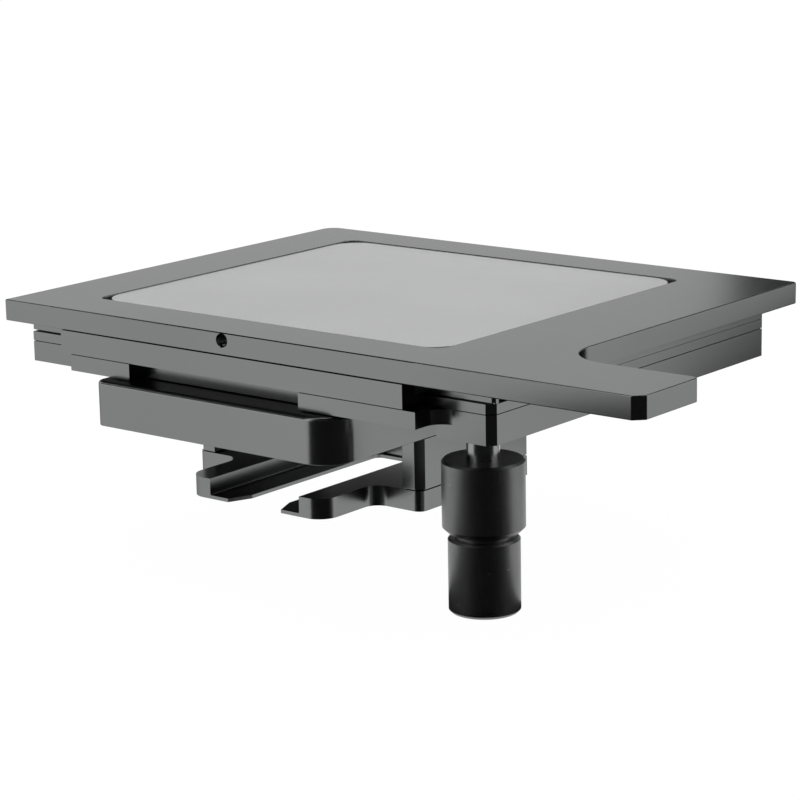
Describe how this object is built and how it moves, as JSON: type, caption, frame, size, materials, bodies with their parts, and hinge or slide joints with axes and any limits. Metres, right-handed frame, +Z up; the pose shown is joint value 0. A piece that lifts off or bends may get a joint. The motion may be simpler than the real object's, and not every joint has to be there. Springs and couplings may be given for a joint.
{
  "type": "mechanical microscope stage",
  "caption": "Two-axis mechanical microscope stage with fork base, crossed-roller slides, glass-topped table and hanging coaxial drive knobs.",
  "frame": {"origin": "on the fork's seat face (underside), on the fork's centre line, under the rear wall of the fork's well", "axes": "+X to the right along the front edge towards the drive knobs, +Y into the depth, +Z up towards the specimen"},
  "size_m": [0.2969, 0.2025, 0.0956],
  "materials": {
    "anodised": "satin black anodised",
    "rail_steel": "ground",
    "screw_steel": "black oxide",
    "brass": "machined",
    "cage_brass": "rolled strip",
    "knob_black": "satin black",
    "sleeve_black": "black oxide, turned",
    "glass": "lightly frosted"
  },
  "bodies": {
    "base": {"fork_plate": "anodised", "riser_left": "anodised", "riser_right": "anodised", "base_slab": "anodised", "base_screws": "screw_steel", "y_rail_inner_left": "rail_steel", "y_rail_inner_right": "rail_steel", "y_rack_bracket": "anodised", "rack_bracket_screws": "screw_steel", "y_rack": "rail_steel"},
    "y_carriage": {"carriage_lower_plate": "anodised", "carriage_upper_plate": "anodised", "drive_housing": "anodised", "left_side_bar": "anodised", "front_beam": "anodised", "rear_beam": "anodised", "y_rail_outer_left": "rail_steel", "y_rail_outer_right": "rail_steel", "x_rail_outer_front": "rail_steel", "x_rail_outer_rear": "rail_steel", "shaft_bush": "brass", "idler_pin": "rail_steel", "housing_screws": "screw_steel", "side_bar_screws": "screw_steel", "beam_screws": "screw_steel"},
    "x_table": {"top_plate": "anodised", "glass_plate": "glass", "table_frame": "anodised", "x_rail_inner_front": "rail_steel", "x_rail_inner_rear": "rail_steel", "table_screws": "screw_steel", "x_rack": "rail_steel"},
    "y_knob": {"y_drive_knob": "knob_black", "y_drive_sleeve": "sleeve_black", "y_drive_gear": "brass", "y_knob_set_screw": "screw_steel"},
    "x_knob": {"x_drive_knob": "knob_black", "x_drive_shaft": "rail_steel", "x_drive_pinion": "rail_steel", "x_knob_set_screw": "screw_steel"},
    "idler": {"y_idler_gear": "brass"},
    "x_cage_front_body": {"x_cage_front": "cage_brass", "x_rollers_front": "rail_steel"},
    "x_cage_rear_body": {"x_cage_rear": "cage_brass", "x_rollers_rear": "rail_steel"},
    "y_cage_left_body": {"y_cage_left": "cage_brass", "y_rollers_left": "rail_steel"},
    "y_cage_right_body": {"y_cage_right": "cage_brass", "y_rollers_right": "rail_steel"}
  },
  "joints": [
    {"name": "y_travel", "type": "slide", "parent": "base", "child": "y_carriage", "axis": [0, 1, 0], "range_m": [-0.024, 0.024]},
    {"name": "x_travel", "type": "slide", "parent": "y_carriage", "child": "x_table", "axis": [1, 0, 0], "range_m": [-0.045, 0.045]},
    {"name": "y_knob_turn", "type": "hinge", "parent": "y_carriage", "child": "y_knob", "pos_m": [0.0967, -0.072, 0.02], "axis": [0, 0, 1], "range_deg": [-173, 173]},
    {"name": "x_knob_turn", "type": "hinge", "parent": "y_carriage", "child": "x_knob", "pos_m": [0.0967, -0.072, 0], "axis": [0, 0, 1], "range_deg": [-359, 359]},
    {"name": "idler_turn", "type": "hinge", "parent": "y_carriage", "child": "idler", "pos_m": [0.0967, -0.052, 0.0436], "axis": [0, 0, 1], "range_deg": [-116, 116]},
    {"name": "x_cage_front_slide", "type": "slide", "parent": "y_carriage", "child": "x_cage_front_body", "axis": [1, 0, 0], "range_m": [-0.0225, 0.0225]},
    {"name": "x_cage_rear_slide", "type": "slide", "parent": "y_carriage", "child": "x_cage_rear_body", "axis": [1, 0, 0], "range_m": [-0.0225, 0.0225]},
    {"name": "y_cage_left_slide", "type": "slide", "parent": "base", "child": "y_cage_left_body", "axis": [0, 1, 0], "range_m": [-0.012, 0.012]},
    {"name": "y_cage_right_slide", "type": "slide", "parent": "base", "child": "y_cage_right_body", "axis": [0, 1, 0], "range_m": [-0.012, 0.012]}
  ],
  "couplings": [
    {"joint": "y_knob_turn", "follows": "y_travel", "rad_per_m": -125},
    {"joint": "idler_turn", "follows": "y_travel", "rad_per_m": 83.333},
    {"joint": "x_knob_turn", "follows": "x_travel", "rad_per_m": 138.89},
    {"joint": "x_cage_front_slide", "follows": "x_travel", "ratio": 0.5},
    {"joint": "x_cage_rear_slide", "follows": "x_travel", "ratio": 0.5},
    {"joint": "y_cage_left_slide", "follows": "y_travel", "ratio": 0.5},
    {"joint": "y_cage_right_slide", "follows": "y_travel", "ratio": 0.5}
  ]
}
